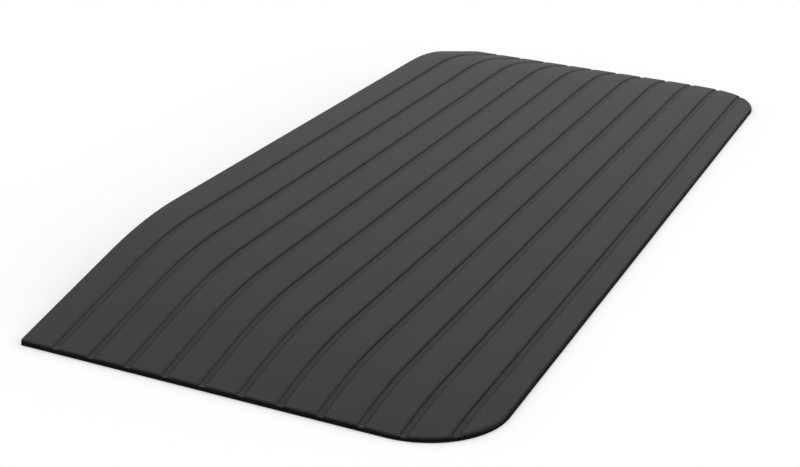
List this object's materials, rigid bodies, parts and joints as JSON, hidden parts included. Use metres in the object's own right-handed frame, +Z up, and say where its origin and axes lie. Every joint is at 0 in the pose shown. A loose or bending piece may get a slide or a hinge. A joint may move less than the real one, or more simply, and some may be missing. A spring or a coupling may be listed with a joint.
{
  "type": "rubber wedge ramp",
  "caption": "Low rubber wedge ramp for a doorway step, with bevelled ends, rounded front corners and straight grip grooves parallel to its long edges.",
  "frame": {"origin": "middle of the footprint, on the floor", "axes": "+X along the ramp's length (the doorway's width), +Y up the slope towards the door, +Z up"},
  "size_m": [1.07, 0.406, 0.0493],
  "materials": {
    "tread_rubber": "matt moulded black rubber",
    "granulate_rubber": "rough bonded rubber granulate",
    "butyl_strip": "smooth tacky butyl"
  },
  "bodies": {
    "root": {"tread_layer": "tread_rubber", "wedge_core": "granulate_rubber", "bond_strip_front": "butyl_strip", "bond_strip_rear": "butyl_strip", "bond_strip_end_left": "butyl_strip", "bond_strip_end_right": "butyl_strip", "bond_strip_cross_left": "butyl_strip", "bond_strip_cross_right": "butyl_strip"}
  },
  "joints": []
}
